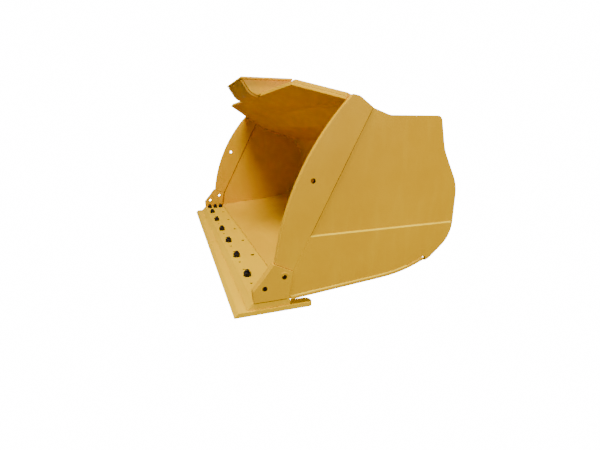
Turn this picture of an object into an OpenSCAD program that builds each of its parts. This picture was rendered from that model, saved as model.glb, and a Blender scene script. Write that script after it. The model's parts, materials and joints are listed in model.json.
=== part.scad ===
// Wheel loader bucket: welded shell, bolt-on cutting edge, spill guard with a raised
// centre visor, rear torque box, and pinned hinges for two lift arms and a tilt link.
// Working frame: x across, y rearwards from the tip of the cutting edge, z up from its
// underside. placed() then moves the middle of the depth to y = 0.

/* [Overall] */
// Width over the two side bars
bucket_w = 2900; // [1800:10:3600]
// From the cutting edge tip to the inside of the back
shell_depth = 1468; // [1230:5:1800]
// From the ground to the top of the torque box
shell_height = 1123; // [1000:5:1400]

/* [Plates] */
// Thickness of the curved shell, the roof and the torque box plates
shell_t = 16; // [10:1:25]
// Thickness of the floor plate
floor_t = 20; // [12:1:30]
// Thickness of the side plates
side_t = 16; // [10:1:25]
// Thickness of the side bars
bar_t = 32; // [26:1:50]
// Thickness of the lower side wear plates
wear_t = 8; // [5:1:12]
// How far the floor plate stands out past each side bar
floor_lip = 6; // [0:1:10]

/* [Edges] */
// Thickness of the base edge
base_t = 46; // [30:1:60]
// Width of the base edge, fore and aft
base_w = 260; // [230:5:320]
// Thickness of the bolt-on cutting edge
edge_t = 28; // [20:1:40]
// Width of the bolt-on cutting edge, fore and aft
edge_w = 250; // [230:5:270]
// How far the base edge stands back from the cutting edge tip
base_set = 80; // [60:5:100]
// How far the cutting edge stands out past each side bar
edge_out = 13; // [12:1:30]
// Length of the end tails of the cutting edge, from its tip
tail_l = 480; // [400:4:560]
// Width of the end lobes, which the end bolts hold
lobe_w = 173; // [150:1:220]
// Width of the end tails
tail_w = 75; // [60:1:110]
// Gap between the two halves of the cutting edge
edge_gap = 6; // [1:0.5:10]

/* [Edge bolts] */
// Pitch of the six inner edge bolts
bolt_pitch = 415.5; // [300:0.5:420]
// Edge bolt row, from the cutting edge tip
bolt_y = 165; // [155:1:175]
// Distance of the end bolts from the outside of the side bar
end_bolt_in = 120; // [110:1:135]
// Pitch of the three end bolts
end_pitch = 67; // [60:1:75]
// Diameter of the edge bolts
bolt_d = 30; // [20:1:36]
// Width of the nuts across their flats
nut_af = 46; // [30:1:55]
// Height of the nuts
nut_h = 30; // [18:1:36]
// Distance from the edge bolts back to the spare adapter holes
spare_back = 127; // [110:1:135]
// Diameter of the spare adapter holes
spare_d = 29; // [20:1:36]
// Diameter of the small adapter pilot holes
pilot_d = 18; // [12:1:22]
// Distance of the pilot holes to each side of an inner bolt
pilot_off = 130; // [100:1:140]

/* [Corner shrouds] */
// Thickness of each leg of a corner shroud
shroud_t = 10; // [8:0.5:12]
// Diameter of the two through holes in each corner shroud
shroud_hole_d = 30; // [20:1:36]

/* [Spill guard] */
// Upward slope of the spill guard
lip_a = 24; // [18:0.5:28]
// Thickness of the spill guard plate
lip_t = 16; // [10:1:20]
// Thickness of the strips along the straight part of the lip
lip_bar_t = 11; // [5:1:40]
// Thickness of the bars along the slanting ends of the lip
end_bar_t = 24; // [16:1:40]
// Width of the strips and bars
lip_bar_w = 60; // [40:2:80]
// Lip line, from the cutting edge tip
lip_y = 464; // [430:2:520]
// Half of the straight part of the lip
lip_half = 1128; // [760:4:1250]
// Half width of the centre visor over its cheeks
visor_half = 325; // [200:5:450]
// Height of the visor above the torque box
visor_h = 321; // [260:1:380]
// Overhang of the visor's cover past its cheeks
visor_over = 22; // [5:1:40]

/* [Hinges] */
// Diameter of the three hinge pins
pin_d = 80; // [60:2:90]
// Running clearance of a pin in its bush, on the radius
pin_clear = 0.06; // [0.02:0.01:0.1]
// Wall of the bushes
bush_wall = 10; // [6:1:14]
// Thickness of the hinge plates
hinge_t = 40; // [25:1:50]
// Thickness of the collars around the pins
collar_t = 20; // [12:1:30]
// Gap between the two plates of a hinge
hinge_gap = 140; // [90:2:180]
// Centre of each lift arm hinge, from the middle
arm_x = 610; // [450:5:750]
// Height of the lift arm pins
arm_z = 400; // [340:5:460]
// Lift arm pins, behind the inside of the back
arm_back = 172; // [150:2:200]
// Tilt pin, below the top of the torque box
tilt_drop = 133; // [100:2:180]
// Tilt pin, behind the inside of the back
tilt_back = 92; // [80:2:120]

/* [Hidden] */
$fn = 64;

PAINT = [0.86, 0.68, 0.25];
EDGE_PAINT = [0.95, 0.80, 0.36];
STEEL = [0.72, 0.72, 0.74];
BLACK = [0.08, 0.07, 0.08];
BRASS = [0.78, 0.60, 0.28];

eps = 0.01;
far = 6000;              // longer than anything that is cut
arc_step = 4;            // degrees between the points of a rounded outline
seat = 0.3;              // clearance between bolted and slotted pieces
butt_gap = 0.05;         // between plates welded end to end

half_w = bucket_w / 2;
bar_in = half_w - bar_t;
side_out = half_w - wear_t;
side_in = side_out - side_t;
edge_half = half_w + edge_out;
floor_half = half_w + floor_lip;

// ---- outlines ----------------------------------------------------------------------
function unit(v) = v / norm(v);
function xy(p) = [p[0], p[1]];
function right_of(d) = [d[1], -d[0]];

// points of a corner b = [y, z, radius] between a and c
function corner(a, b, c) =
  b[2] == undef || b[2] == 0 ? [xy(b)] :
  let (u = unit(xy(a) - xy(b)), v = unit(xy(c) - xy(b)), half = acos(u * v) / 2,
       mid = xy(b) + unit(u + v) * b[2] / sin(half),
       s = xy(b) + u * b[2] / tan(half) - mid, e = xy(b) + v * b[2] / tan(half) - mid,
       a0 = atan2(s[1], s[0]), turn = (atan2(e[1], e[0]) - a0 + 540) % 360 - 180,
       n = max(2, ceil(abs(turn) / arc_step)))
  [for (i = [0:n]) mid + b[2] * [cos(a0 + turn * i / n), sin(a0 + turn * i / n)]];

function rounded(p) =
  [for (i = [0:len(p) - 1]) each
    i == 0 || i == len(p) - 1 ? [xy(p[i])] : corner(p[i - 1], p[i], p[i + 1])];
function rounded_loop(p) =
  let (n = len(p)) [for (i = [0:n - 1]) each corner(p[(i + n - 1) % n], p[i], p[(i + 1) % n])];
function reversed(p) = [for (i = [len(p) - 1:-1:0]) p[i]];

// a path moved by t to its right
function shifted(p, t) =
  [for (i = [0:len(p) - 1])
    let (d1 = unit(i == 0 ? p[1] - p[0] : p[i] - p[i - 1]),
         d2 = unit(i == len(p) - 1 ? p[i] - p[i - 1] : p[i + 1] - p[i]),
         n = unit(right_of(d1) + right_of(d2)))
    p[i] + n * t / (n * right_of(d1))];
function band(p, t) = concat(p, reversed(shifted(p, t)));

// point of the line a-b at a given first coordinate
function on_line(a, b, y) = [y, a[1] + (b[1] - a[1]) * (y - a[0]) / (b[0] - a[0])];
// centre of the circle of radius r through a and b, to the right of a-b
function arc_centre(a, b, r) =
  (a + b) / 2 + right_of(unit(b - a)) * sqrt(r * r - pow(norm(b - a) / 2, 2));
// tangent point on a circle seen from p, side is 1 or -1
function touch(p, c, r, side) =
  let (a = atan2(p[1] - c[1], p[0] - c[0]) + side * acos(r / norm(p - c)))
  c + r * [cos(a), sin(a)];

// ---- the shell's section -----------------------------------------------------------
base_top = edge_t + base_t;
base_rear = base_set + base_w;
floor_step = 6;                        // floor surface above the base edge
floor_a = 4.86;                        // rise of the floor rearwards
floor_y = base_rear + 2;
floor_z = base_top + floor_step;
heel_1 = [shell_depth - 368, floor_z + (shell_depth - 368 - floor_y) * tan(floor_a), 900];
heel_2 = [shell_depth - 136, heel_1[1] + 95, 180];
heel_3 = [shell_depth - 2, heel_2[1] + 190, 300];
back_top = [shell_depth, shell_height - 423, 350];
roof_rear = [shell_depth - 133, shell_height - 206, 110];
roof_bend = [shell_depth - 563, shell_height - 63, 160];
split_heel = on_line(heel_1, heel_2, shell_depth - 194);
split_back = [shell_depth - 1, (heel_3[1] + back_top[1]) / 2];
split_roof = on_line(roof_bend, roof_rear, shell_depth - 213);

// the spill guard's underside, and its top surface
spill_y = shell_depth - 522;
spill_run = 50;
function spill_top(y) = shell_height - shell_t + (spill_y - y) * tan(lip_a);
function spill_under(y) = spill_top(y) - lip_t / cos(lip_a);
// the roof bends into the spill guard's plane, so that the inside is one smooth surface
roof_knee = [spill_y - 211, spill_under(spill_y - 211), 200];
seam_y = spill_y - 241;
roof_tip = [seam_y, spill_under(seam_y)];

floor_path = rounded([[floor_y, floor_z], heel_1, split_heel]);
heel_path = rounded([on_line(heel_1, heel_2, split_heel[0] + butt_gap), heel_2, heel_3, split_back]);
back_path = rounded([split_back, back_top, roof_rear, split_roof]);
roof_path = rounded([split_roof, roof_bend, roof_knee, roof_tip]);
shell_fill = concat(shifted(floor_path, floor_t), shifted(heel_path, shell_t),
                    shifted(back_path, shell_t), shifted(roof_path, shell_t));

// ---- the side's outline ------------------------------------------------------------
bar_arc_r = 1630;
bar_foot = [base_set + 158, base_top];
seam_foot = [base_rear + 1, base_top];
seam_low = [base_rear + 22, base_top + 165];
seam_top = [spill_y - 98, spill_under(spill_y - 98) + 33];
lip_stack = (lip_t + end_bar_t) / cos(lip_a);
bar_head = [spill_y - 225, spill_under(spill_y - 225) + lip_stack];
bar_brow = [spill_y - 183, bar_head[1] - 8, 60];
bar_mid = arc_centre(bar_foot, bar_head, bar_arc_r);
arc_from = atan2(bar_foot[1] - bar_mid[1], bar_foot[0] - bar_mid[0]);
arc_turn = (atan2(bar_head[1] - bar_mid[1], bar_head[0] - bar_mid[0]) - arc_from + 540) % 360 - 180;
arc_n = 24;
bar_arc = [for (i = [0:arc_n])
  bar_mid + bar_arc_r * [cos(arc_from + arc_turn * i / arc_n), sin(arc_from + arc_turn * i / arc_n)]];
bar_outline = concat(bar_arc, corner(bar_head, bar_brow, seam_top), [seam_top, seam_low, seam_foot]);

ear_rise = 1;                           // side plate above the torque box
notch_w = 23;
ear_points = [
  [spill_y + 22, shell_height + ear_rise, 110],
  [shell_depth - 131, shell_height + ear_rise, 38],
  [shell_depth - 85, shell_height - 208, 300],
  [shell_depth + 38, back_top[1] - 13, 260],
  [shell_depth + 33, heel_2[1] + 102, 215],
  [shell_depth - 130, heel_2[1] - 36, 0]];
// foot of the seam, where it meets the floor's surface
side_foot = seam_foot + (seam_low - seam_foot) * (floor_step + 0.6) / (seam_low[1] - seam_foot[1]);
notch_in = split_heel + [notch_w, 0];
notch_out = notch_in - [0, floor_t + 12];
side_outline = concat(
  [xy(seam_low), xy(seam_top)],
  rounded(concat([seam_top], ear_points, [notch_out])),
  [notch_in], reversed([for (p = floor_path) if (p[0] > seam_low[0]) p]), [side_foot]);
wear_top = edge_t + 408;                // top of the side wear plates
wear_in = 14;                           // wear plate inside the rear of the side plate

// ---- placing -----------------------------------------------------------------------
arm_pin_at = [shell_depth + arm_back, arm_z];
tilt_pin_at = [shell_depth + tilt_back, shell_height - tilt_drop];
arm_boss_r = 95;
tilt_boss_r = 90;
total_depth = arm_pin_at[0] + arm_boss_r;

module placed() translate([0, -total_depth / 2, 0]) children();
// a drawing in y and z, from x to x + t
module slab(x, t) translate([x, 0, 0]) rotate([90, 0, 90]) linear_extrude(t) children();
// right-hand piece as drawn, or its left-hand twin
module side(s) if (s > 0) children(); else mirror([1, 0, 0]) children();
module rod(x, at, r, l) translate([x, at[0], at[1]]) rotate([0, 90, 0]) cylinder(r = r, h = l);
// the torque box, cut out of what stands against it
module box_cut() slab(-far / 2, far)
  polygon([[box_rear, plate_under + shell_t], [box_rear, plate_under], box_low,
           box_low - [400, 0], [box_rear - 400, plate_under + shell_t]]);
module inside_cut(x, t) slab(x, t) polygon(shell_fill);

// ---- edges -------------------------------------------------------------------------
shank_r = bolt_d / 2;
bolt_hole_r = shank_r + 1;
head_r = bolt_d * 0.92;
head_h = bolt_d * 0.6;
head_sink = 1;
end_x = half_w - end_bolt_in;
inner_bolts = [for (i = [-2.5:1:2.5]) [i * bolt_pitch, bolt_y]];
end_bolts = [for (s = [-1, 1], k = [0:2]) [s * end_x, bolt_y + k * end_pitch]];
all_bolts = concat(inner_bolts, end_bolts);
spare_holes = [for (b = inner_bolts) b + [0, spare_back]];
pilot_holes = [for (b = inner_bolts, s = [-1, 1]) b + [s * pilot_off, 0]];

module drill(list, r, z, h) for (p = list) translate([p[0], p[1], z]) cylinder(r = r, h = h, $fn = 32);
// countersunk bolt from its flat head up; grow widens it into a seat
module plow_bolt(l, grow) rotate_extrude($fn = 48)
  polygon([[0, -grow * 4], [head_r + grow, -grow * 4], [head_r + grow, 3], [shank_r + grow, head_h],
           [shank_r + grow, l], [0, l]]);

bevel_w = 26;
bevel_h = 5;
tail_r = 40;
module cutting_edge(s) color(EDGE_PAINT) placed() difference() {
  side(s) union() {
    slab(edge_gap / 2, edge_half - edge_gap / 2)
      polygon([[0, 0], [0, bevel_h], [bevel_w, edge_t], [edge_w, edge_t], [edge_w, 0]]);
    linear_extrude(edge_t)
      polygon(rounded_loop([[edge_half - lobe_w, edge_w - 60, 0], [edge_half, edge_w - 60, 0],
                            [edge_half, tail_l, tail_r * 0.6], [edge_half - tail_w, tail_l, tail_r],
                            [edge_half - tail_w, base_rear, tail_r / 2],
                            [edge_half - lobe_w, base_rear, tail_r / 2]]));
  }
  for (b = all_bolts) translate([b[0], b[1], head_sink - seat]) plow_bolt(edge_t + 2, 1);
  drill(pilot_holes, pilot_d / 2, -1, edge_t + 2);
}

base_bevel = 39;
module base_edge() color(EDGE_PAINT) placed() difference() {
  slab(-half_w, 2 * half_w)
    polygon([[base_set, edge_t], [base_set, edge_t + 6], [base_set + base_bevel, base_top],
             [base_rear, base_top], [base_rear, edge_t]]);
  drill(all_bolts, bolt_hole_r, 0, base_top + 1);
  drill(spare_holes, spare_d / 2, 0, base_top + 1);
  drill(pilot_holes, pilot_d / 2, 0, base_top + 1);
}

bolt_l = base_top + nut_h + 9 - head_sink;
module edge_bolts() color(BLACK) placed()
  for (b = all_bolts) translate([b[0], b[1], head_sink]) plow_bolt(bolt_l, 0);

module hex_nut(af, h, bore_r) difference() {
  intersection() {
    cylinder(d = af / cos(30), h = h, $fn = 6);
    rotate_extrude($fn = 48)
      polygon([[0, 0], [af / 2 + 1.5, 0], [af / 2 + 4, 2], [af / 2 + 4, h - 3], [af / 2 - 1, h], [0, h]]);
  }
  translate([0, 0, -1]) cylinder(r = bore_r, h = h + 2, $fn = 32);
}
module edge_nuts() color(BLACK) placed()
  for (b = all_bolts) translate([b[0], b[1], base_top]) rotate(b[0] / 7)
    hex_nut(nut_af, nut_h, shank_r + 0.2);

// ---- sides -------------------------------------------------------------------------
bar_hole = [base_set + 404, shell_height - 360];
bar_hole_r = 15;
shroud_holes = [[base_set + 224, base_top + 138], [base_set + 105, base_top + 81]];
module side_bar(s) color(PAINT) placed() side(s) difference() {
  slab(bar_in, bar_t) polygon(bar_outline);
  rod(bar_in - 1, bar_hole, bar_hole_r, bar_t + 2);
  for (h = shroud_holes) rod(bar_in - 1, h, shroud_hole_d / 2, bar_t + 2);
}
module side_plate(s) color(PAINT) placed() side(s) slab(side_in, side_t) polygon(side_outline);
module side_wear_plate(s) color(PAINT) placed() side(s) intersection() {
  slab(side_out, wear_t) difference() {
    polygon(side_outline);
    translate([-wear_in, 0]) difference() {
      translate([shell_depth - 300, -1]) square([far, wear_top + 2]);
      polygon(side_outline);
    }
  }
  cube([far, far, wear_top * 2], center = true);
}

shroud_low = base_top + 0.4;
shroud_outline = rounded_loop([
  [base_set + 162, base_top + 222, 6], [base_set + 279, base_top + 165, 8],
  [base_set + 260, base_top + 79, 0], [base_set + 250, shroud_low, 0],
  [base_set + 38, shroud_low, 4], [base_set + 36, base_top + 70, 14], [base_set + 98, base_top + 141, 30]]);
rib_w = 6;
rib_h = 3;
shroud_out = half_w + shroud_t;
module corner_shroud(s) color(PAINT) placed() side(s) {
  difference() {
    slab(bar_in - shroud_t, bar_t + 2 * shroud_t) polygon(shroud_outline);
    slab(bar_in - seat, bar_t + 2 * seat) union() {
      polygon(shifted(reversed(bar_outline), seat));
      translate([bar_foot[0] + 40, 0]) square([far, far]);
    }
    for (h = shroud_holes) rod(bar_in - far / 2, h, shroud_hole_d / 2, far);
  }
  translate([shroud_out, shroud_holes[0][0], shroud_holes[0][1]]) rotate([90, 0, 90]) rotate(20)
    rotate_extrude(angle = 110) translate([shroud_hole_d / 2 + 9, -eps]) square([rib_w, rib_h]);
}

// ---- shell -------------------------------------------------------------------------
module floor_plate() color(PAINT) placed() slab(-floor_half, 2 * floor_half) polygon(band(floor_path, floor_t));
module heel_plate() color(PAINT) placed() slab(-side_in, 2 * side_in) polygon(band(heel_path, shell_t));
module back_plate() color(PAINT) placed() slab(-side_in, 2 * side_in) polygon(band(back_path, shell_t));
module roof_plate() color(PAINT) placed() difference() {
  slab(-side_in, 2 * side_in) polygon(band(roof_path, shell_t));
  for (s = [-1, 1]) side(s) slab(bar_in, bar_t) polygon(bar_outline);
}

box_rear = shell_depth - 156;          // rear of the torque box top
box_low = [shell_depth - 56, shell_height - 301];
plate_under = shell_height - shell_t;
rear_a = atan2(box_low[0] - box_rear, plate_under - box_low[1]);
rear_in = shell_t / cos(rear_a);
module torque_top_plate() color(PAINT) placed()
  translate([-side_in, spill_y, plate_under]) cube([2 * side_in, box_rear - spill_y, shell_t]);
module torque_rear_plate() color(PAINT) placed() difference() {
  slab(-side_in, 2 * side_in)
    polygon([[box_rear, plate_under], box_low, box_low - [rear_in, 0], [box_rear - rear_in, plate_under]]);
  inside_cut(-far / 2, far);
}
gusset_t = 12;
gusset_front = spill_y + spill_run + 10;
gusset_pitch = 470;
gussets = [for (i = [-2.5:1:2.5]) i * gusset_pitch * min(1, side_in / 1300)];
module torque_gussets() color(PAINT) placed() difference() {
  for (x = gussets) slab(x - gusset_t / 2, gusset_t)
    polygon([[box_rear - rear_in, plate_under], [gusset_front, plate_under],
             [gusset_front, spill_under(gusset_front)],
             [roof_knee[0] + 60, spill_under(roof_knee[0] + 60)], [roof_bend[0], roof_bend[1]],
             [roof_rear[0], roof_rear[1]], box_low - [rear_in, 0]]);
  inside_cut(-far / 2, far);
}

// ---- spill guard -------------------------------------------------------------------
// drawings in this frame lie in the spill guard's underside, y measured along the slope
module on_spill(z) translate([0, spill_y, spill_under(spill_y)]) rotate([-lip_a, 0, 0]) translate([0, 0, z]) children();
function along(y) = (y - spill_y) / cos(lip_a);
lip_corner_y = spill_y - 264;
lip_end = [bar_in, along(lip_corner_y)];
lip_knee = [lip_half, along(lip_y)];
module spill_guard_plate() color(PAINT) placed() on_spill(0) linear_extrude(lip_t)
  polygon([[-bar_in, along(seam_y - butt_gap)], [-lip_end[0], lip_end[1]], [-lip_knee[0], lip_knee[1]],
           lip_knee, lip_end, [bar_in, along(seam_y - butt_gap)]]);
// carries the spill guard's slope on over the torque box
module torque_slope_plate() color(PAINT) placed() difference() {
  on_spill(0) linear_extrude(lip_t) translate([-side_in, along(roof_knee[0])])
    square([2 * side_in, along(spill_y + spill_run) - along(roof_knee[0])]);
  translate([-far / 2, spill_y - eps, plate_under - eps]) cube([far, far, far]);
  for (s = [-1, 1]) side(s) slab(bar_in, bar_t) polygon(bar_outline);
  inside_cut(-far / 2, far);
}
lip_dir = unit(lip_end - lip_knee);
lip_in = [-lip_dir[1], lip_dir[0]];
end_bar_from = lip_knee + 14 * lip_dir;
module lip_bar(s) color(PAINT) placed() side(s) on_spill(lip_t) linear_extrude(lip_bar_t)
  translate([visor_half, lip_knee[1]]) square([end_bar_from[0] - lip_bar_w - seat - visor_half, lip_bar_w]);
module lip_end_bar(s) color(PAINT) placed() side(s) difference() {
  on_spill(lip_t) linear_extrude(end_bar_t)
    polygon([end_bar_from, lip_end, [bar_in, lip_end[1] + lip_bar_w / lip_in[1]],
             end_bar_from + [-lip_bar_w, lip_bar_w * 0.6], end_bar_from + [-lip_bar_w, 0]]);
  inside_cut(0, half_w);
}

visor_t = 16;
visor_top = shell_height + visor_h;
cover_under = visor_top - visor_t;
tongue_knee = [lip_y - 74, spill_under(lip_y) + 26, 90];
tongue_head = [lip_y - 138, cover_under];
visor_rear_y = lip_y + 269;
visor_foot_y = spill_y + 64;
tongue_path = rounded([[lip_y - 2, spill_under(lip_y)], tongue_knee, tongue_head]);
module visor_cheek(s) color(PAINT) placed() side(s) slab(visor_half - visor_t, visor_t)
  polygon(concat(tongue_path, [[visor_rear_y, cover_under], [visor_foot_y, shell_height],
    [spill_y - 1, shell_height], [spill_y - 1, spill_top(spill_y - 1) + eps],
    [lip_y - 2, spill_top(lip_y - 2) + eps]]));
tongue_half = visor_half - visor_t;
module visor_tongue() color(PAINT) placed() difference() {
  slab(-tongue_half, 2 * tongue_half) polygon(concat(tongue_path, reversed(shifted(tongue_path, -visor_t))));
  translate([-far / 2, 0, cover_under]) cube([far, far, far]);
}
module visor_cover() color(PAINT) placed()
  translate([-visor_half - visor_over, tongue_head[0] - 16, cover_under])
    cube([2 * (visor_half + visor_over), visor_rear_y - tongue_head[0] + 16, visor_t]);
rear_path = [[visor_rear_y, cover_under], [visor_foot_y, shell_height]];
module visor_rear_plate() color(PAINT) placed() difference() {
  slab(-tongue_half, 2 * tongue_half) polygon(concat(rear_path, reversed(shifted(rear_path, visor_t))));
  translate([-far / 2, 0, cover_under]) cube([far, far, far]);
  translate([-far / 2, 0, 0]) cube([far, far, shell_height]);
}

// ---- underside and back ------------------------------------------------------------
rib_x = 1010 * half_w / 1450;
rib_plate_t = 20;
rib_stand = 62;
module back_ribs() color(PAINT) placed() difference() {
  for (x = [-rib_x, -260, 260, rib_x]) slab(x - rib_plate_t / 2, rib_plate_t)
    polygon(rounded_loop([[shell_depth - 120, heel_2[1] - 10, 0], [shell_depth + rib_stand, heel_3[1], 220],
                          [shell_depth + rib_stand, back_top[1] - 20, 240], [box_low[0] + 6, box_low[1] + 20, 0],
                          [shell_depth - 120, back_top[1], 0]]));
  inside_cut(-far / 2, far);
  box_cut();
}
skid_x = [for (s = [-1, 1], k = [0.22, 0.62]) s * k * half_w];
skid_web_t = 30;
skid_w = 130;
sole_t = 20;
skid_y0 = base_rear + 120;
skid_y1 = shell_depth - 280;
skid_nose = 60;
module skid_webs() color(PAINT) placed() difference() {
  for (x = skid_x) slab(x - skid_web_t / 2, skid_web_t)
    polygon([[skid_y0, sole_t], [skid_y0, floor_z], [skid_y1 + 40, heel_2[1]], [skid_y1, sole_t]]);
  inside_cut(-far / 2, far);
}
module skid_soles() color(PAINT) placed() for (x = skid_x) slab(x - skid_w / 2, skid_w)
  polygon([[skid_y0, 0], [skid_y0 - skid_nose, sole_t], [skid_y0 - skid_nose, sole_t + 12],
           [skid_y0, sole_t], [skid_y1, sole_t], [skid_y1 + skid_nose, sole_t + 12],
           [skid_y1 + skid_nose, sole_t], [skid_y1, 0]]);
pad = [150, 36, 190];
module stop_pads() color(PAINT) placed() for (s = [-1, 1])
  translate([s * arm_x, (box_rear + box_low[0]) / 2, (plate_under + box_low[1]) / 2])
    rotate([rear_a, 0, 0]) translate([-pad[0] / 2, 0, -pad[2] / 2]) cube(pad);

// ---- hinges ------------------------------------------------------------------------
pin_r = pin_d / 2;
bush_in = pin_r + pin_clear;
bush_out = bush_in + bush_wall;
boss_bore = bush_out + 0.02;
collar_r = bush_out + 32;
bolt_reach = collar_r + 42;            // keeper bolt from the pin
keeper_r = 10;
arm_turn = 108;                        // direction of the keeper bolt
tilt_turn = 193;
function toward(at, a) = at + bolt_reach * [cos(a), sin(a)];

arm_up = [box_low[0] + 10, box_low[1] - 10];
arm_down = [shell_depth - 90, heel_2[1] + 30];
tilt_up = [box_rear + 14, plate_under - 20];
tilt_down = [shell_depth + 12, split_back[1] - 20];
blend = 1;                              // the web's edges cut this deep into the boss
module hinge_web(x, at, r, up, down) difference() {
  union() {
    rod(x, at, r, hinge_t);
    slab(x, hinge_t)
      polygon([up, touch(up, at, r - blend, -1), touch(down, at, r - blend, 1), down,
               [shell_depth - 200, (up[1] + down[1]) / 2]]);
  }
  rod(x - 1, at, boss_bore, hinge_t + 2);
  rod(x - 1, toward(at, at == tilt_pin_at ? tilt_turn : arm_turn), keeper_r + 0.5, hinge_t + 2);
  inside_cut(-far / 2, far);
  box_cut();
}
arm_near = arm_x - hinge_gap / 2 - hinge_t;
arm_far = arm_x + hinge_gap / 2;
module arm_hinge(s, x) color(PAINT) placed() side(s) hinge_web(x, arm_pin_at, arm_boss_r, arm_up, arm_down);
module tilt_ear(s) color(PAINT) placed() side(s)
  hinge_web(hinge_gap / 2, tilt_pin_at, tilt_boss_r, tilt_up, tilt_down);

module ring(x, at, r_out, r_in, l) difference() {
  rod(x, at, r_out, l);
  rod(x - 1, at, r_in, l + 2);
}
module collar_pair(x0, x1, at) {
  ring(x0 - collar_t, at, collar_r, boss_bore, collar_t);
  ring(x1 + hinge_t, at, collar_r, boss_bore, collar_t);
}
module hinge_collars() color(PAINT) placed() {
  for (s = [-1, 1]) side(s) collar_pair(arm_near, arm_far, arm_pin_at);
  collar_pair(-hinge_gap / 2 - hinge_t, hinge_gap / 2, tilt_pin_at);
}
module keeper_bosses() color(PAINT) placed() {
  for (s = [-1, 1]) side(s)
    ring(arm_far + hinge_t, toward(arm_pin_at, arm_turn), 24, keeper_r + 0.5, collar_t);
  ring(hinge_gap / 2 + hinge_t, toward(tilt_pin_at, tilt_turn), 24, keeper_r + 0.5, collar_t);
}
bush_l = hinge_t + collar_t;
module bush_pair(x0, x1, at) {
  ring(x0 - collar_t, at, bush_out, bush_in, bush_l);
  ring(x1, at, bush_out, bush_in, bush_l);
}
module arm_bushes(s) color(BRASS) placed() side(s) bush_pair(arm_near, arm_far, arm_pin_at);
module tilt_bushes() color(BRASS) placed() bush_pair(-hinge_gap / 2 - hinge_t, hinge_gap / 2, tilt_pin_at);

flag_t = 14;
flag_r = 50;
flag_eye_r = 28;
// pin with the keeper flag on its outer end, x0 is the inner end and x1 the outer face
module keeper_pin(x0, x1, at, turn) {
  difference() {
    union() {
      rod(x0, at, pin_r, x1 - x0 + seat + flag_t);
      slab(x1 + seat, flag_t) union() {
        translate(at) circle(r = flag_r);
        translate(toward(at, turn)) circle(r = flag_eye_r);
        polygon(concat([for (s = [1, -1]) at + (flag_r - blend) * [cos(turn + s * 80), sin(turn + s * 80)]],
                       [for (s = [-1, 1]) toward(at, turn)
                         + (flag_eye_r - blend) * [cos(turn + s * 80), sin(turn + s * 80)]]));
      }
    }
    rod(x1, toward(at, turn), keeper_r + 0.5, far);
    rod(x1 + seat + flag_t - 8, at, 4, far);
  }
}
arm_face = arm_far + bush_l;
tilt_face = hinge_gap / 2 + bush_l;
module arm_pin(s) color(STEEL) placed() side(s) keeper_pin(arm_near - collar_t - 4, arm_face, arm_pin_at, arm_turn);
module tilt_pin() color(STEEL) placed() keeper_pin(-tilt_face - 4, tilt_face, tilt_pin_at, tilt_turn);

module keeper_bolt(x, at) {
  rod(x - 50, at, keeper_r, 50 + eps);
  difference() {
    translate([x, at[0], at[1]]) rotate([0, 90, 0]) cylinder(r = 21, h = 4);
    rod(x - 1, at, keeper_r, 6);
  }
  translate([x + 4 - eps, at[0], at[1]]) rotate([0, 90, 0]) cylinder(d = 30 / cos(30), h = 13, $fn = 6);
  rod(x - eps, at, keeper_r + eps, 4 + eps);
}
module arm_keeper_bolt(s) color(STEEL) placed() side(s)
  keeper_bolt(arm_face + seat + flag_t, toward(arm_pin_at, arm_turn));
module tilt_keeper_bolt() color(STEEL) placed()
  keeper_bolt(tilt_face + seat + flag_t, toward(tilt_pin_at, tilt_turn));

module grease_fitting(x, at) translate([x, at[0], at[1]]) rotate([0, 90, 0]) rotate_extrude($fn = 32)
  polygon([[0, -7], [3.9, -7], [3.9, 0], [7, 0], [7, 6], [4, 8], [3, 12], [4.5, 14], [4, 17], [2, 19], [0, 19]]);
module arm_grease_fitting(s) color(STEEL) placed() side(s) grease_fitting(arm_face + seat + flag_t, arm_pin_at);
module tilt_grease_fitting() color(STEEL) placed() grease_fitting(tilt_face + seat + flag_t, tilt_pin_at);

// ---- assembly ----------------------------------------------------------------------
cutting_edge(-1);  // cutting_edge_left
cutting_edge(1);  // cutting_edge_right
base_edge();
edge_bolts();
edge_nuts();
corner_shroud(-1);  // corner_shroud_left
corner_shroud(1);  // corner_shroud_right
side_bar(-1);  // side_bar_left
side_bar(1);  // side_bar_right
side_plate(-1);  // side_plate_left
side_plate(1);  // side_plate_right
side_wear_plate(-1);  // side_wear_plate_left
side_wear_plate(1);  // side_wear_plate_right
floor_plate();
heel_plate();
back_plate();
roof_plate();
torque_top_plate();
torque_slope_plate();
torque_rear_plate();
torque_gussets();
spill_guard_plate();
lip_bar(-1);  // lip_bar_left
lip_bar(1);  // lip_bar_right
lip_end_bar(-1);  // lip_end_bar_left
lip_end_bar(1);  // lip_end_bar_right
visor_cheek(-1);  // visor_cheek_left
visor_cheek(1);  // visor_cheek_right
visor_tongue();
visor_cover();
visor_rear_plate();
back_ribs();
skid_webs();
skid_soles();
stop_pads();
arm_hinge(-1, arm_far);  // arm_hinge_left_outer
arm_hinge(-1, arm_near);  // arm_hinge_left_inner
arm_hinge(1, arm_near);  // arm_hinge_right_inner
arm_hinge(1, arm_far);  // arm_hinge_right_outer
tilt_ear(-1);  // tilt_ear_left
tilt_ear(1);  // tilt_ear_right
hinge_collars();
keeper_bosses();
arm_bushes(-1);  // arm_bushes_left
arm_bushes(1);  // arm_bushes_right
tilt_bushes();
arm_pin(-1);  // arm_pin_left
arm_pin(1);  // arm_pin_right
tilt_pin();
arm_keeper_bolt(-1);  // arm_keeper_bolt_left
arm_keeper_bolt(1);  // arm_keeper_bolt_right
tilt_keeper_bolt();
arm_grease_fitting(-1);  // arm_grease_fitting_left
arm_grease_fitting(1);  // arm_grease_fitting_right
tilt_grease_fitting();
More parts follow.
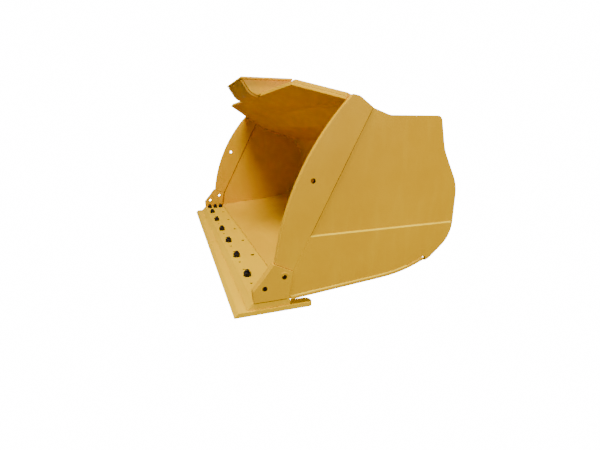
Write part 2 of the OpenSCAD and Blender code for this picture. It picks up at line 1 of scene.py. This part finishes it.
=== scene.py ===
# %% [markdown]
# A wheel loader bucket is a welded box of steel plate with a few bolted and pinned pieces.
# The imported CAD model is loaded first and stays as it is: every piece made here is placed
# from its nodes, so nothing has to be fitted by eye.

# %% Load the frame
import json
import math
import bmesh
import bpy
from mathutils import Matrix, Vector, noise
from mathutils.bvhtree import BVHTree


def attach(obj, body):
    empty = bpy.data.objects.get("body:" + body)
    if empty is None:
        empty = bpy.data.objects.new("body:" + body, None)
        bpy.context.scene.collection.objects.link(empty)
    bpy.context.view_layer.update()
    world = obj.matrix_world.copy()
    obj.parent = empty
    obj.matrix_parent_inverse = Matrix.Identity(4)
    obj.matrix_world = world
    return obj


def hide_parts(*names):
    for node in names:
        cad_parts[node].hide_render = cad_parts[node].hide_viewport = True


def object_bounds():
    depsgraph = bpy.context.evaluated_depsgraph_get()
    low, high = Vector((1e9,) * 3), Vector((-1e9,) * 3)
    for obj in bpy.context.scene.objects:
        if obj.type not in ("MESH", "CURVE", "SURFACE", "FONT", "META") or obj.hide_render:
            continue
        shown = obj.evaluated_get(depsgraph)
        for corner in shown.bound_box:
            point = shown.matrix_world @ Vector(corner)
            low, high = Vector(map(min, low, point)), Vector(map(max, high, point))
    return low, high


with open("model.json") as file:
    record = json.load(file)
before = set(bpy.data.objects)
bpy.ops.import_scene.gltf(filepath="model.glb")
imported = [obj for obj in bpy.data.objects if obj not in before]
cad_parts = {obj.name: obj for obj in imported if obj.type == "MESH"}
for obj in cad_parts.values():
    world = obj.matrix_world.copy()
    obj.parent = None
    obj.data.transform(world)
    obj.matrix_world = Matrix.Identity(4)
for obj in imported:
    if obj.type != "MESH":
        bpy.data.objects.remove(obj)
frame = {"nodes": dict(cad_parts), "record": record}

CAD_LOW, CAD_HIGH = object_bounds()
MM = 0.001
SIDES = {"left": -1, "right": 1}
BODY_OF = {n: b for b, ns in frame["record"]["behaviour"]["bodies"].items() for n in ns}
SLOT_OF = {s["node"]: s["material_slot"] for s in frame["record"]["subparts"]}
print("frame:", len(frame["nodes"]), "nodes, box", [round(v, 3) for v in CAD_HIGH - CAD_LOW])

# %% [markdown]
# The camera stands in front of the right-hand corner, a little above the lip's height and
# close to the bucket, with a wide lens. It could be aimed with a constraint, but a bearing,
# a tilt and a roll say exactly how it is held.

# %% Camera
CAMERA_AT = Vector((3.3468, CAD_LOW.y - 0.2654, 1.0469))
BEARING, TILT, ROLL = map(math.radians, (70.56, -14.81, -0.206))
LENS, SENSOR = 21.81, 36.0


def make_camera():
    data = bpy.data.cameras.new("camera")
    data.lens, data.sensor_width, data.sensor_fit = LENS, SENSOR, "HORIZONTAL"
    data.clip_start, data.clip_end = 0.05, 100
    camera = bpy.data.objects.new("camera", data)
    bpy.context.scene.collection.objects.link(camera)
    level = math.cos(TILT)
    ahead = Vector((-math.sin(BEARING) * level, math.cos(BEARING) * level, math.sin(TILT)))
    roll = Matrix.Rotation(ROLL, 3, "Z").to_quaternion()
    camera.rotation_mode = "QUATERNION"
    camera.rotation_quaternion = ahead.to_track_quat("-Z", "Y") @ roll
    camera.location = CAMERA_AT
    bpy.context.scene.camera = camera
    return camera


print("camera:", make_camera().name, LENS, "mm")

# %% [markdown]
# A studio for a large product has a broad soft light overhead and a little in front, which
# carries most of the picture. A second one stands beside the bucket for the side plate, and
# two weak ones ahead of it and behind it keep the mouth and the hinges from going black. The
# walls are a world that looks white but gives little light, so that the inside of the
# bucket stays as dark as it would be under lamps; walls of real mesh would light it from
# every side. The floor looks white too, and sends little light up.

# %% Light and floor
WALL_WHITE, WALL_LIGHT = 16.0, 0.12
FLOOR_SIZE, FLOOR_DROP, FLOOR_GREY = 60, 0.002, 0.16
LAMPS = (("overhead", (1.8, -2.0, 6.5), (0, 0, 0.5), 2.6, 780),
         ("beside", (7.2, 1.2, 2.4), (1.4, 0.2, 0.6), 3.0, 350),
         ("ahead", (2.6, -6.5, 3.4), (0, -0.4, 0.4), 3.0, 60),
         ("behind", (-3.4, 7.4, 3.6), (0, 0.6, 0.6), 3.0, 300))


def soft_light(name, at, aim, size, power):
    data = bpy.data.lights.new(name, "AREA")
    data.shape, data.size, data.energy = "DISK", size, power
    light = bpy.data.objects.new(name, data)
    light.location = at
    light.rotation_mode = "QUATERNION"
    light.rotation_quaternion = (Vector(aim) - Vector(at)).to_track_quat("-Z", "Y")
    bpy.context.scene.collection.objects.link(light)
    return light


def make_walls():
    world = bpy.data.worlds.new("studio")
    world.use_nodes = True
    nodes, links = world.node_tree.nodes, world.node_tree.links
    seen = nodes["Background"]
    seen.inputs["Strength"].default_value = WALL_WHITE
    lighting = nodes.new("ShaderNodeBackground")
    lighting.inputs["Strength"].default_value = WALL_LIGHT
    for shade in (seen, lighting):
        shade.inputs["Color"].default_value = (1, 1, 1, 1)
    path, either = nodes.new("ShaderNodeLightPath"), nodes.new("ShaderNodeMixShader")
    links.new(path.outputs["Is Camera Ray"], either.inputs[0])
    links.new(lighting.outputs[0], either.inputs[1])
    links.new(seen.outputs[0], either.inputs[2])
    links.new(either.outputs[0], nodes["World Output"].inputs["Surface"])
    bpy.context.scene.world = world


def make_floor():
    bm = bmesh.new()
    bmesh.ops.create_grid(bm, x_segments=2, y_segments=2, size=FLOOR_SIZE)
    bmesh.ops.translate(bm, verts=bm.verts, vec=(0, 0, CAD_LOW.z - FLOOR_DROP))
    mesh = bpy.data.meshes.new("studio_floor")
    bm.to_mesh(mesh)
    bm.free()
    floor = bpy.data.objects.new("studio_floor", mesh)
    bpy.context.scene.collection.objects.link(floor)
    pale = bpy.data.materials.new("pale_floor")
    pale.use_nodes = True
    nodes, links = pale.node_tree.nodes, pale.node_tree.links
    shader = nodes["Principled BSDF"]
    shader.inputs["Base Color"].default_value = (*[FLOOR_GREY] * 3, 1)
    shader.inputs["Roughness"].default_value = 0.9
    glow, path = nodes.new("ShaderNodeEmission"), nodes.new("ShaderNodeLightPath")
    glow.inputs["Strength"].default_value = WALL_WHITE
    either = nodes.new("ShaderNodeMixShader")
    links.new(path.outputs["Is Camera Ray"], either.inputs[0])
    links.new(shader.outputs[0], either.inputs[1])
    links.new(glow.outputs[0], either.inputs[2])
    links.new(either.outputs[0], nodes["Material Output"].inputs["Surface"])
    mesh.materials.append(pale)


make_walls()
make_floor()
for lamp in LAMPS:
    soft_light(*lamp)
print("studio:", len(LAMPS), "soft lights, white walls, pale floor")

# %% [markdown]
# Every finish is a small graph of shader nodes. A helper keeps the graphs short: it makes a
# node, sets its values and links its inputs in one call.

# %% Shader helper
class Graph:
    def __init__(self, name):
        self.material = bpy.data.materials.new(name)
        self.material.use_nodes = True
        self.tree = self.material.node_tree
        self.shader = self.tree.nodes["Principled BSDF"]

    def add(self, kind, inputs=None, **settings):
        made = self.tree.nodes.new(kind)
        for key, value in settings.items():
            setattr(made, key, value)
        for key, value in (inputs or {}).items():
            self.put(made, key, value)
        return made

    def put(self, target, key, value):
        if isinstance(value, bpy.types.NodeSocket):
            self.tree.links.new(value, target.inputs[key])
        else:
            target.inputs[key].default_value = value

    def noise(self, scale, detail=3.0, rough=0.55, stretch=(1, 1, 1)):
        at = self.add("ShaderNodeTexCoord").outputs["Object"]
        if stretch != (1, 1, 1):
            at = self.add("ShaderNodeMapping", {"Vector": at, "Scale": stretch}).outputs["Vector"]
        made = self.add("ShaderNodeTexNoise", {"Vector": at, "Scale": scale, "Detail": detail,
                                               "Roughness": rough})
        return made.outputs["Fac"]

    def remap(self, value, low, high, to_low=0.0, to_high=1.0):
        made = self.add("ShaderNodeMapRange", {"Value": value, "From Min": low, "From Max": high,
                                               "To Min": to_low, "To Max": to_high})
        return made.outputs["Result"]

    def math(self, how, a, b):
        return self.add("ShaderNodeMath", {0: a, 1: b}, operation=how).outputs["Value"]

    def mix(self, factor, a, b, how="MIX"):
        made = self.add("ShaderNodeMix", data_type="RGBA", blend_type=how)
        for key, value in ((0, factor), (6, a), (7, b)):
            self.put(made, key, value)
        return made.outputs[2]

    def bump(self, height, distance, strength=1.0, below=None):
        links = {"Height": height, "Distance": distance, "Strength": strength}
        if below is not None:
            links["Normal"] = below
        return self.add("ShaderNodeBump", links).outputs["Normal"]


def rgb(r, g, b):
    """A colour from 0 to 255 as the eye sees it, made linear."""
    def linear(c):
        c = c / 255
        return c / 12.92 if c <= 0.04045 else ((c + 0.055) / 1.055) ** 2.4
    return (linear(r), linear(g), linear(b), 1.0)


# %% [markdown]
# The bucket is sprayed with yellow enamel. Close up, enamel has a fine orange peel; further
# away the plate under it waves a little where welding has pulled it, and the coat varies in
# depth. The bevelled edges are painted lighter in patches, a painted highlight where a bevel
# would catch the light; a few small chips show the primer, which is wear. Where edges are is
# read from the mesh: each dressed piece marks its bevelled faces with "edge". The walls of its
# open holes carry a mark of their own and are painted dark there, a painted shade in the holes.

# %% Enamel
def enamel(name, colour, deep, pale, roughness=0.42, wave=1.0):
    g = Graph(name)
    cloud = g.remap(g.noise(1.7, 4.0, 0.6), 0.3, 0.7)
    coat = g.mix(cloud, deep, colour)
    streak = g.remap(g.noise(3.0, 5.0, 0.65, (0.5, 3.5, 0.7)), 0.5, 0.8, 0.0, 0.35)
    coat = g.mix(streak, coat, pale)
    edge = g.add("ShaderNodeAttribute", attribute_name="edge").outputs["Fac"]
    # The bevelled faces are lightened in noisy patches: a painted highlight.
    highlight_spread = g.remap(g.noise(26.0, 5.0, 0.7), 0.38, 0.62)
    edge_highlight = g.math("MULTIPLY", edge, g.remap(highlight_spread, 0.0, 1.0, 0.25, 0.85))
    coat = g.mix(edge_highlight, coat, pale)
    chip = g.math("MULTIPLY", edge, g.remap(g.noise(55.0, 6.0, 0.75), 0.66, 0.70))
    coat = g.mix(chip, coat, rgb(120, 104, 84))
    # The hole walls are painted dark brown: a painted shade inside the open holes.
    bore_shade = g.add("ShaderNodeAttribute", attribute_name="bore_shade").outputs["Fac"]
    coat = g.mix(g.math("MULTIPLY", bore_shade, 0.9), coat, rgb(46, 30, 16))
    g.put(g.shader, "Base Color", coat)
    g.put(g.shader, "Roughness", g.remap(g.noise(9.0, 4.0), 0.3, 0.7, roughness - 0.05, roughness + 0.07))
    sheet = g.bump(g.noise(2.6, 2.0, 0.4), 0.012 * wave, 0.5)
    peel = g.bump(g.noise(420.0, 2.0, 0.5), 0.0004, 0.55, sheet)
    g.put(g.shader, "Normal", peel)
    g.shader.inputs["Specular IOR Level"].default_value = 0.1
    return g.material


SHELL_YELLOW = enamel("shell_enamel", rgb(219, 164, 2), rgb(210, 154, 2), rgb(231, 181, 6))
# The edge enamel is paler than the shell's: partly its own finish, partly a painted highlight for the lit
# tops of the edges.
EDGE_YELLOW_AND_HIGHLIGHT = enamel("edge_enamel_and_highlight", rgb(230, 180, 3), rgb(224, 172, 2), rgb(244, 200, 16), 0.38, 0.5)
print("enamels:", SHELL_YELLOW.name, EDGE_YELLOW_AND_HIGHLIGHT.name)

# %% [markdown]
# Bolts and nuts are blackened steel, dull and a little uneven. The pins are ground steel:
# bright, with fine rings round them and a film of grease that darkens it in patches. The
# bushes are turned bronze and the small bolts are zinc plated.

# %% Metals
def metal(name, bright, dark, roughness, grain=(1, 1, 1), fine=300.0, metallic=1.0, depth=0.0002):
    g = Graph(name)
    patch = g.remap(g.noise(14.0, 4.0, 0.6), 0.35, 0.7)
    g.put(g.shader, "Base Color", g.mix(patch, dark, bright))
    g.put(g.shader, "Roughness", g.remap(g.noise(30.0, 4.0), 0.3, 0.7, roughness - 0.07, roughness + 0.1))
    g.put(g.shader, "Normal", g.bump(g.noise(fine, 3.0, 0.6, grain), depth, 0.6))
    g.shader.inputs["Metallic"].default_value = metallic
    return g.material


FINISHES = {
    "shell_paint": SHELL_YELLOW,
    "edge_paint": EDGE_YELLOW_AND_HIGHLIGHT,
    "black_hardware": metal("black_steel", (0.016, 0.014, 0.016, 1), (0.007, 0.006, 0.008, 1), 0.5,
                            metallic=0.6),
    "pin_steel": metal("ground_steel", (0.62, 0.61, 0.6, 1), (0.36, 0.34, 0.31, 1), 0.28, (4, 0.4, 0.4)),
    "zinc_hardware": metal("zinc_plate", (0.72, 0.71, 0.66, 1), (0.55, 0.53, 0.47, 1), 0.34),
    "bush_bronze": metal("turned_bronze", (0.72, 0.47, 0.2, 1), (0.5, 0.31, 0.13, 1), 0.32, (4, 0.4, 0.4)),
}
print("finishes:", ", ".join(m.name for m in FINISHES.values()))

# %% [markdown]
# A CAD plate has knife edges, which no cut or sheared plate has. Each node is dressed: its
# mesh is copied, the loose triangles are merged and flat neighbours dissolved, and the
# sharp edges get a small round bevel that catches the light. The bevelled faces carry the
# "edge" mark. A Bevel modifier would round the edges too, but couldn't mark them. Open holes
# are told by where their rows and centres lie, in depth from the cutting edge and in height.

# %% Dressing
def new_piece(name, bm, material, body, slot):
    mesh = bpy.data.meshes.new(name)
    bm.to_mesh(mesh)
    bm.free()
    mesh.materials.append(material)
    piece = bpy.data.objects.new(name, mesh)
    bpy.context.scene.collection.objects.link(piece)
    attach(piece, body)
    return piece


def sharp_edges(bm, degrees):
    limit = math.radians(degrees)
    return [e for e in bm.edges if len(e.link_faces) == 2 and e.calc_face_angle(0) > limit]


MERGE, FLAT = 0.02 * MM, math.radians(0.4)
SHARP, CREASE = 24, math.radians(50)
HOLE_ROWS, ROW_REACH, WALL_AREA = (292 * MM, 165 * MM), 16 * MM, 0.002
SIDE_HOLES = ((484 * MM, 763 * MM), (304 * MM, 212 * MM), (185 * MM, 155 * MM))
HOLE_REACH, UPRIGHT = 19 * MM, 0.4


def cad_copy(node):
    """A node's mesh with its loose triangles merged and its flat neighbours dissolved."""
    bm = bmesh.new()
    bm.from_mesh(frame["nodes"][node].data)
    bmesh.ops.remove_doubles(bm, verts=bm.verts, dist=MERGE)
    bmesh.ops.dissolve_limit(bm, angle_limit=FLAT, verts=bm.verts, edges=bm.edges)
    return bm


def mark_face(face, layer):
    for loop in face.loops:
        loop[layer] = 1.0


def in_bore(node, face):
    """True for the wall of an open hole in the edge, a side bar or a shroud."""
    at, turn = face.calc_center_median(), face.normal
    depth = at.y - CAD_LOW.y
    if node in ("base_edge", "floor_plate") and abs(turn.z) < UPRIGHT:
        in_row = any(abs(depth - row) < ROW_REACH for row in HOLE_ROWS)
        return in_row and face.calc_area() < WALL_AREA
    if ("side_bar" in node or "corner_shroud" in node) and abs(turn.x) < UPRIGHT:
        return any(math.hypot(depth - y, at.z - z) < HOLE_REACH for y, z in SIDE_HOLES)
    return False


def dress(node, bevel):
    bm = cad_copy(node)
    edge_mark = bm.loops.layers.float.new("edge")
    made = bmesh.ops.bevel(bm, geom=sharp_edges(bm, SHARP), offset=bevel, offset_type="OFFSET",
                           affect="EDGES", segments=2, profile=0.5, material=-1, clamp_overlap=True)
    for face in made["faces"]:
        mark_face(face, edge_mark)
    # The hole walls are marked so that the enamel paints shade into them.
    bore_mark = bm.loops.layers.float.new("bore_shade")
    for face in bm.faces:
        face.smooth = True
        if in_bore(node, face):
            mark_face(face, bore_mark)
    big = [f for f in bm.faces if len(f.verts) > 4]
    bmesh.ops.triangulate(bm, faces=big, quad_method="BEAUTY", ngon_method="BEAUTY")
    slot = SLOT_OF[node]
    piece = new_piece(node + "_dressed", bm, FINISHES[slot], BODY_OF[node], slot)
    piece.data.set_sharp_from_angle(angle=CREASE)
    weigh = piece.modifiers.new("flat_faces", "WEIGHTED_NORMAL")
    weigh.keep_sharp = True
    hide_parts(node)
    return piece


BEVELS = {"cutting_edge": 3.0, "base_edge": 3.0, "corner_shroud": 3.5, "edge_nuts": 1.2, "edge_bolts": 0.6,
          "side_wear_plate": 1.5, "floor_plate": 2.5, "hinge": 3.0, "tilt_ear": 3.0, "bushes": 1.2,
          "grease": 0.25, "keeper_bolt": 0.8, "pin": 2.0, "gussets": 1.0}
BEVEL_ELSEWHERE = 2.2


def bevel_for(node):
    for part, size in BEVELS.items():
        if part in node:
            return size * MM
    return BEVEL_ELSEWHERE * MM


for node in frame["nodes"]:
    dress(node, bevel_for(node))
print("dressed:", len(frame["nodes"]), "nodes")

# %% [markdown]
# The plates are joined with fillet welds. A weld lies where an edge of one plate rests on
# the face of another, so the seams are found rather than drawn: every sharp edge of a plate
# is walked in short steps, and a step counts where the other plate's face is right under
# it. Steps that meet are joined into long seams.

# %% Finding seams
STEP, UNDER, FACING, SEAM_ANGLE = 9 * MM, 0.8 * MM, -0.85, 25


COPIES, TREES = {}, {}


def copy_and_tree(node):
    if node not in COPIES:
        COPIES[node] = cad_copy(node)
        TREES[node] = BVHTree.FromBMesh(COPIES[node])
    return COPIES[node], TREES[node]


def steps_on(edge, lies, shows, tree, leg):
    """Stations (place, up the first plate, out along the other) of the runs that touch."""
    a, b = (v.co for v in edge.verts)
    count = max(1, math.ceil((b - a).length / STEP))
    runs, run = [], []
    for i in range(count + 1):
        place = a.lerp(b, i / count)
        probe = a.lerp(b, min(max(i / count, 0.02), 0.98)) + shows.normal * leg * 0.5
        under = tree.find_nearest(probe, UNDER)
        if under[0] is not None and under[1].dot(lies.normal) < FACING:
            run.append((place, under[1], shows.normal.copy()))
        elif run:
            runs.append(run)
            run = []
    if run:
        runs.append(run)
    return [r for r in runs if len(r) > 1]


def joined(runs):
    """Runs that share an end point and turn little there become one."""
    runs = [list(r) for r in runs]
    merged = True
    while merged:
        merged = False
        ends = {}
        for i, run in enumerate(runs):
            for tip in (0, -1):
                key = tuple(round(c / (0.2 * MM)) for c in run[tip][0])
                ends.setdefault(key, []).append((i, tip))
        for pair in ends.values():
            if len(pair) != 2 or pair[0][0] == pair[1][0]:
                continue
            (i, tip_i), (j, tip_j) = pair
            if runs[i] is None or runs[j] is None:
                continue
            first = runs[i] if tip_i == -1 else runs[i][::-1]
            second = runs[j] if tip_j == 0 else runs[j][::-1]
            if first[-1][2].dot(second[0][2]) < 0.5:
                continue
            middle = (first[-1][0], (first[-1][1] + second[0][1]).normalized(),
                      (first[-1][2] + second[0][2]).normalized())
            runs[i], runs[j], merged = first[:-1] + [middle] + second[1:], None, True
            if any(k in (i, j) for p in ends.values() if p is not pair for k, t in p):
                break
        runs = [r for r in runs if r is not None]
    return runs


def seams(part, other, leg):
    bm, tree = copy_and_tree(part)[0], copy_and_tree(other)[1]
    runs = []
    for edge in sharp_edges(bm, SEAM_ANGLE):
        for lies, shows in (edge.link_faces, reversed(edge.link_faces)):
            runs += steps_on(edge, lies, shows, tree, leg)
    return joined(runs)


# %% [markdown]
# A weld bead is a rounded ridge in the corner of two plates, with the ripples that the arc
# leaves as it steps along. Each bead is one grid, wrapped round the seam: its columns
# follow the seam and its rows go round the bead's section. A curve with a bevel would be
# quicker, but a curve twists, and a bead has to lie against two plates all along.

# %% Weld beads
RIPPLE, RIPPLE_TURN, UNEVEN, END_SIZE = 0.07, 2.4, 0.10, 0.55
SHORTEST = 12 * MM
SECTION = ((-0.12, -0.12), (-0.12, 1.0), (0.30, 0.80), (0.58, 0.58), (0.80, 0.30), (1.0, -0.12))


def edge_between(a, b):
    return next(e for e in a.link_edges if e.other_vert(a) is b)


def bead(bm, run, leg):
    rows, spans = len(SECTION), len(run) - 1
    grid = bmesh.ops.create_grid(bm, x_segments=spans, y_segments=rows - 1, size=1.0)["verts"]
    grid.sort(key=lambda v: (round(v.co.x * spans), v.co.y))
    for i, (place, up, out) in enumerate(run):
        ripple = 1.0 + RIPPLE * math.sin(i * RIPPLE_TURN) + UNEVEN * noise.noise(place * 14)
        size = leg * ripple * (END_SIZE if i in (0, spans) else 1.0)
        for k, (along_up, along_out) in enumerate(SECTION):
            grid[i * rows + k].co = place + up * along_up * size + out * along_out * size
    column = [grid[i * rows:(i + 1) * rows] for i in range(len(run))]
    for ring in (column[0], column[-1]):
        bmesh.ops.contextual_create(bm, geom=ring)
    rails = [edge_between(column[i][side], column[i + 1][side])
             for side in (0, -1) for i in range(spans)]
    bmesh.ops.bridge_loops(bm, edges=rails)


def weld(name, pairs, material):
    bm = bmesh.new()
    length = 0.0
    for part, other, leg in pairs:
        for run in seams(part, other, leg * MM):
            reach = sum((q[0] - p[0]).length for p, q in zip(run, run[1:]))
            if reach > SHORTEST:
                bead(bm, run, leg * MM)
                length += reach
    bmesh.ops.recalc_face_normals(bm, faces=bm.faces)
    for face in bm.faces:
        face.smooth = True
    piece = new_piece(name, bm, material, "bucket", "shell_paint")
    piece.data.set_sharp_from_angle(angle=math.radians(60))
    print(name, round(length, 1), "m,", len(piece.data.polygons), "faces")
    return piece


def both(part, other, leg):
    """The pair on each side; a name ending in * gets left or right."""
    return [(part.replace("*", side), other.replace("*", side), leg) for side in SIDES]


# The seams along the side bars and shrouds get darker enamel as painted shade, and the wear plate's top edge
# paler enamel as a painted highlight.
WELD_YELLOW = enamel("weld_enamel", rgb(218, 164, 2), rgb(202, 147, 2), rgb(230, 182, 10), 0.42, 0.2)
# Darker enamel for the bar and shroud seams: painted shade in the step and crevice.
SEAM_SHADE_YELLOW = enamel("seam_shade_enamel", rgb(150, 98, 3), rgb(128, 80, 2), rgb(176, 122, 8), 0.5, 0.2)
# Paler enamel for the wear plate welds: a painted highlight on the top edge.
RIM_HIGHLIGHT_YELLOW = enamel("rim_highlight_enamel", rgb(244, 206, 40), rgb(236, 194, 24), rgb(250, 220, 80), 0.4, 0.2)
BAR_WELDS = (both("side_plate_*", "side_bar_*", 7) + both("side_wear_plate_*", "side_bar_*", 4)
             + both("base_edge", "corner_shroud_*", 9) + both("corner_shroud_*", "side_bar_*", 4)
             + both("corner_shroud_*", "side_wear_plate_*", 4))
WEAR_WELDS = both("side_wear_plate_*", "side_plate_*", 8) + both("side_wear_plate_*", "floor_plate", 5)
INNER_WELDS = (both("side_plate_*", "floor_plate", 8) + both("side_bar_*", "floor_plate", 8)
               + both("side_bar_*", "base_edge", 8) + both("heel_plate", "side_plate_*", 8)
               + both("back_plate", "side_plate_*", 8) + both("roof_plate", "side_plate_*", 7)
               + both("roof_plate", "side_bar_*", 7) + both("spill_guard_plate", "side_bar_*", 7)
               + [("floor_plate", "base_edge", 3)])
LIP_WELDS = (both("lip_bar_*", "spill_guard_plate", 5) + both("lip_end_bar_*", "spill_guard_plate", 6)
             + both("visor_cheek_*", "spill_guard_plate", 6) + both("visor_cheek_*", "torque_slope_plate", 6)
             + both("visor_cheek_*", "torque_top_plate", 6) + both("visor_cheek_*", "visor_cover", 5)
             + both("visor_tongue", "visor_cheek_*", 5) + both("visor_rear_plate", "visor_cheek_*", 5)
             + both("torque_top_plate", "side_plate_*", 7) + both("torque_slope_plate", "side_plate_*", 7)
             + both("torque_slope_plate", "side_bar_*", 7) + [("visor_rear_plate", "torque_top_plate", 6)])
ARM_PLATES = [f"arm_hinge_{side}_{end}" for side in SIDES for end in ("inner", "outer")]
EARS = [f"tilt_ear_{side}" for side in SIDES]
ARM_WALLS = ("back_plate", "heel_plate", "torque_rear_plate")
EAR_WALLS = ("back_plate", "torque_rear_plate", "torque_top_plate")
BACK_WELDS = ([(plate, wall, 9) for plate in ARM_PLATES for wall in ARM_WALLS]
              + [(ear, wall, 9) for ear in EARS for wall in EAR_WALLS]
              + [("hinge_collars", plate, 7) for plate in ARM_PLATES + EARS]
              + [("keeper_bosses", plate, 4) for plate in ARM_PLATES + EARS]
              + [("back_ribs", wall, 7) for wall in ARM_WALLS]
              + [("stop_pads", "torque_rear_plate", 7), ("torque_rear_plate", "back_plate", 8),
                 ("skid_webs", "floor_plate", 8), ("skid_webs", "heel_plate", 8),
                 ("skid_webs", "skid_soles", 7)]
              + both("torque_rear_plate", "side_plate_*", 7))

weld("bar_welds", BAR_WELDS, SEAM_SHADE_YELLOW)
weld("wear_welds", WEAR_WELDS, RIM_HIGHLIGHT_YELLOW)
weld("inner_welds", INNER_WELDS, WELD_YELLOW)
weld("lip_welds", LIP_WELDS, WELD_YELLOW)
weld("back_welds", BACK_WELDS, WELD_YELLOW)

# %% [markdown]
# The edge bolts stand out of their nuts, and their ends show the thread. Each end is grown
# from one disc, ring by ring, with a ridge and a groove in turn and a small chamfer on top.
# A helix would need its start and end closed by hand and looks the same from any distance.

# %% Bolt threads
THREAD_MIN, THREAD_MAX, THREAD_TIP = 15.1 * MM, 16.0 * MM, 12.5 * MM
THREAD_STEP, THREAD_RINGS, THREAD_SINK = 1.5 * MM, 11, 1 * MM


def islands(bm):
    """The separate pieces of a mesh, as lists of vertices."""
    left, groups = set(bm.verts), []
    for start in bm.verts:
        if start not in left:
            continue
        left.remove(start)
        edge, group = [start], []
        while edge:
            vert = edge.pop()
            group.append(vert)
            for other in (e.other_vert(vert) for e in vert.link_edges):
                if other in left:
                    left.remove(other)
                    edge.append(other)
        groups.append(group)
    return groups


def threaded_end(bm, foot):
    verts = bmesh.ops.create_circle(bm, segments=24, radius=THREAD_MIN, cap_ends=True)["verts"]
    bmesh.ops.translate(bm, verts=verts, vec=foot)
    top, size = verts[0].link_faces[0], THREAD_MIN
    for ring in range(THREAD_RINGS):
        grown = bmesh.ops.extrude_face_region(bm, geom=[top])["geom"]
        top = next(g for g in grown if isinstance(g, bmesh.types.BMFace))
        last = ring == THREAD_RINGS - 1
        wanted = THREAD_TIP if last else (THREAD_MAX, THREAD_MIN)[ring % 2]
        centre = foot + Vector((0, 0, (ring + 1) * THREAD_STEP))
        for vert in top.verts:
            vert.co.xy = centre.xy + (vert.co.xy - centre.xy) * wanted / size
            vert.co.z = centre.z
        size = wanted


def bolt_threads():
    nuts, bm = cad_copy("edge_nuts"), bmesh.new()
    for nut in islands(nuts):
        low = Vector(min(v.co[i] for v in nut) for i in range(3))
        high = Vector(max(v.co[i] for v in nut) for i in range(3))
        threaded_end(bm, Vector(((low.x + high.x) / 2, (low.y + high.y) / 2, high.z - THREAD_SINK)))
    nuts.free()
    bmesh.ops.recalc_face_normals(bm, faces=bm.faces)
    for face in bm.faces:
        face.smooth = True
    piece = new_piece("bolt_threads", bm, FINISHES["black_hardware"], "bucket", "black_hardware")
    piece.data.set_sharp_from_angle(angle=math.radians(40))
    print("bolt threads:", len(piece.data.polygons), "faces")


bolt_threads()
